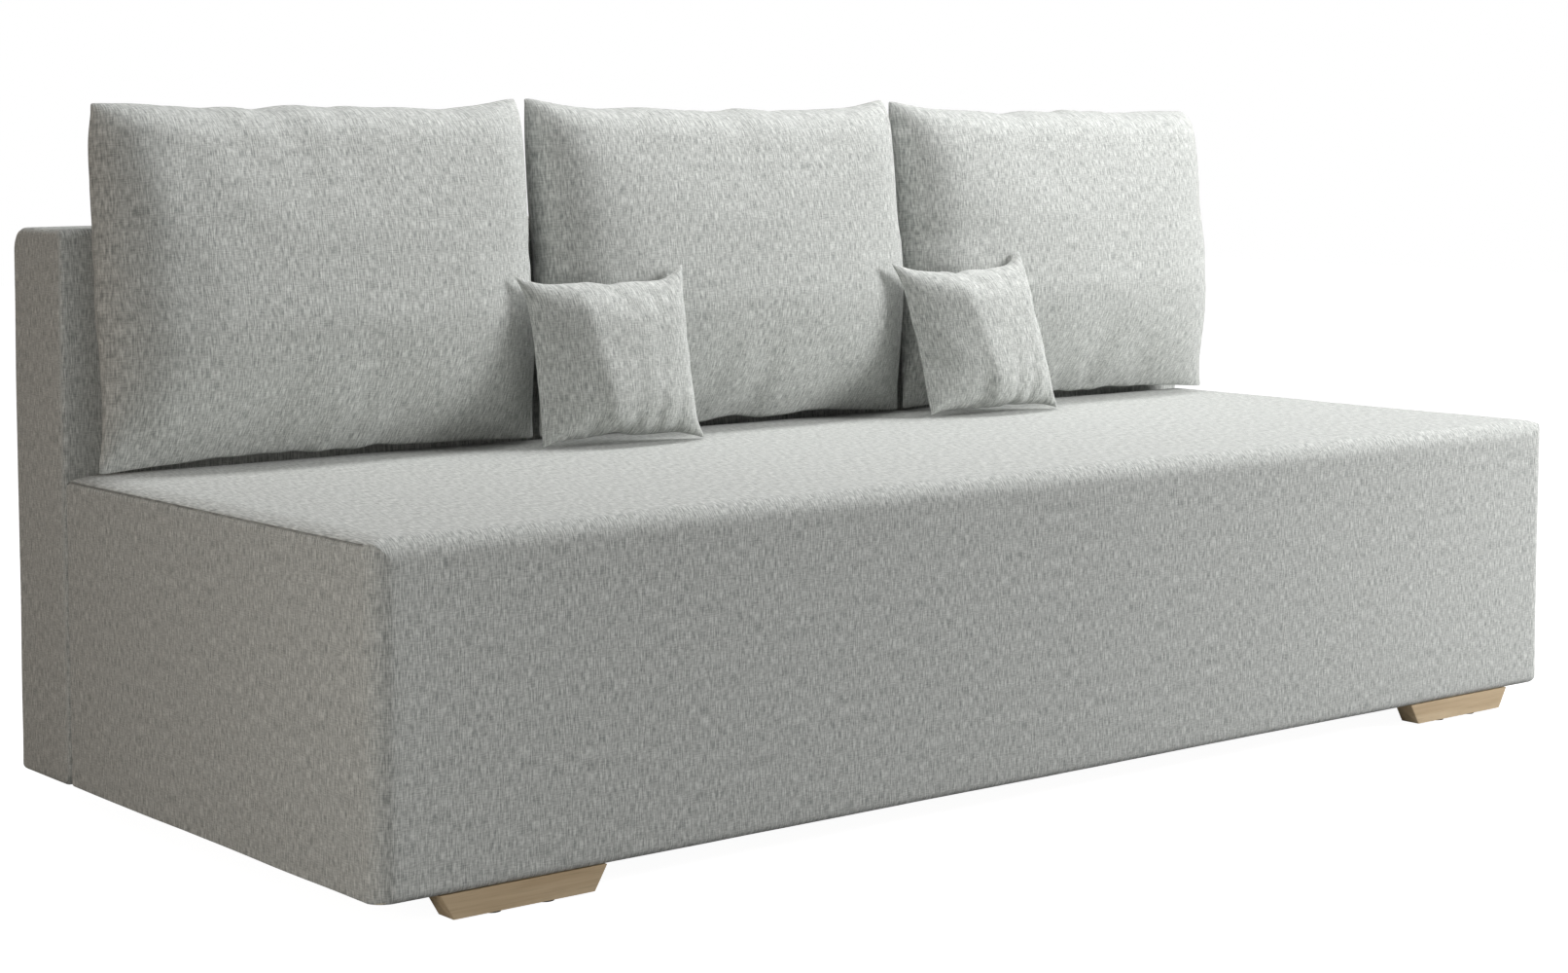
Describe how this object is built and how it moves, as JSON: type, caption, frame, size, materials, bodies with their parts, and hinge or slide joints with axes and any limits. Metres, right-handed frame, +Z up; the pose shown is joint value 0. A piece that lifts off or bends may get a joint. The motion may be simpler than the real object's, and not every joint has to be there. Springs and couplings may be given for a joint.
{
  "type": "armless sofa",
  "caption": "Armless upholstered sofa bed with loose back cushions and throw pillows; the seat pulls forward over a bedding chest and the back lies down flat behind it.",
  "frame": {"origin": "on the floor, under the middle of the whole sofa", "axes": "+X along the width to the viewer's right when facing the sofa, -Y towards the sitter's legs, +Z up"},
  "size_m": [2, 0.878, 0.8886],
  "materials": {
    "seat_fabric": "light grey melange flat weave",
    "lining_cloth": "black nonwoven lining",
    "felt": "grey-brown needle felt",
    "glide_felt": "dark felt",
    "foam": "cream polyurethane foam",
    "filling_fibre": "white polyester fibre",
    "birch": "clear matt lacquer",
    "softwood": "planed, unfinished",
    "chipboard": "raw board",
    "hardboard": "smooth face",
    "black_plastic": "moulded",
    "bush_plastic": "moulded nylon",
    "slider_plastic": "moulded nylon",
    "clip_plastic": "moulded",
    "buffer_rubber": "matt",
    "steel_plate": "black powder coat",
    "spring_wire": "drawn, oiled",
    "zinc_screws": "zinc plated"
  },
  "bodies": {
    "base": {"chest_front_board": "chipboard", "chest_rear_board": "chipboard", "chest_side_boards": "chipboard", "chest_floor": "hardboard", "chest_divider": "chipboard", "chest_battens": "softwood", "chest_feet": "black_plastic", "runner_rails": "softwood", "rest_blocks": "softwood", "rest_buffers": "buffer_rubber", "pivot_plates": "steel_plate", "pivot_bushes": "bush_plastic", "pivot_plate_screws": "zinc_screws"},
    "swing_frame": {"swing_arms": "steel_plate", "torsion_tube": "steel_plate"},
    "seat": {"seat_front_board": "chipboard", "seat_side_boards": "chipboard", "seat_plinth": "chipboard", "seat_corner_blocks": "softwood", "seat_end_rails": "softwood", "seat_side_rails": "softwood", "seat_cross_rails": "softwood", "seat_sliders": "slider_plastic", "seat_springs": "spring_wire", "seat_spring_clips": "clip_plastic", "seat_felt": "felt", "seat_foam": "foam", "seat_front_pad": "foam", "seat_side_pads": "foam", "seat_band_cover": "seat_fabric", "seat_side_cover_left": "seat_fabric", "seat_side_cover_right": "seat_fabric", "seat_rear_cover": "lining_cloth", "front_foot_left": "birch", "front_foot_right": "birch", "foot_glides": "glide_felt", "foot_screws": "zinc_screws"},
    "back": {"back_rails": "softwood", "back_stiles": "softwood", "back_side_boards": "chipboard", "back_hinge_brackets": "steel_plate", "back_bracket_screws": "zinc_screws", "back_springs": "spring_wire", "back_spring_clips": "clip_plastic", "back_felt": "felt", "back_foam": "foam", "back_pad": "foam", "back_side_pads": "foam", "back_cover": "seat_fabric", "back_rear_lining": "lining_cloth"},
    "left_cushion": {"left_cushion_cover": "seat_fabric", "left_cushion_filling": "filling_fibre"},
    "middle_cushion": {"middle_cushion_cover": "seat_fabric", "middle_cushion_filling": "filling_fibre"},
    "right_cushion": {"right_cushion_cover": "seat_fabric", "right_cushion_filling": "filling_fibre"},
    "left_pillow": {"left_pillow_cover": "seat_fabric", "left_pillow_filling": "filling_fibre"},
    "right_pillow": {"right_pillow_cover": "seat_fabric", "right_pillow_filling": "filling_fibre"}
  },
  "joints": [
    {"name": "seat_slide", "type": "slide", "parent": "base", "child": "seat", "axis": [0, -1, 0], "range_m": [0, 0.558]},
    {"name": "arm_swing", "type": "hinge", "parent": "base", "child": "swing_frame", "pos_m": [0, -0.05725, 0.06], "axis": [1, 0, 0], "range_deg": [0, 120.03]},
    {"name": "back_recline", "type": "hinge", "parent": "swing_frame", "child": "back", "pos_m": [0, 0.321, 0.049], "axis": [-1, 0, 0], "range_deg": [0, 210.03]},
    {"name": "left_cushion_lift", "type": "slide", "parent": "seat", "child": "left_cushion", "axis": [0, 0, 1], "range_m": [0, 0.3]},
    {"name": "middle_cushion_lift", "type": "slide", "parent": "seat", "child": "middle_cushion", "axis": [0, 0, 1], "range_m": [0, 0.3]},
    {"name": "right_cushion_lift", "type": "slide", "parent": "seat", "child": "right_cushion", "axis": [0, 0, 1], "range_m": [0, 0.3]},
    {"name": "left_pillow_lift", "type": "slide", "parent": "seat", "child": "left_pillow", "axis": [0, -0.6, 0.8], "range_m": [0, 0.3]},
    {"name": "right_pillow_lift", "type": "slide", "parent": "seat", "child": "right_pillow", "axis": [0, -0.6, 0.8], "range_m": [0, 0.3]}
  ],
  "couplings": [
    {"joint": "arm_swing", "follows": "seat_slide", "rad_per_m": 3.7542},
    {"joint": "back_recline", "follows": "seat_slide", "rad_per_m": 6.5692}
  ]
}
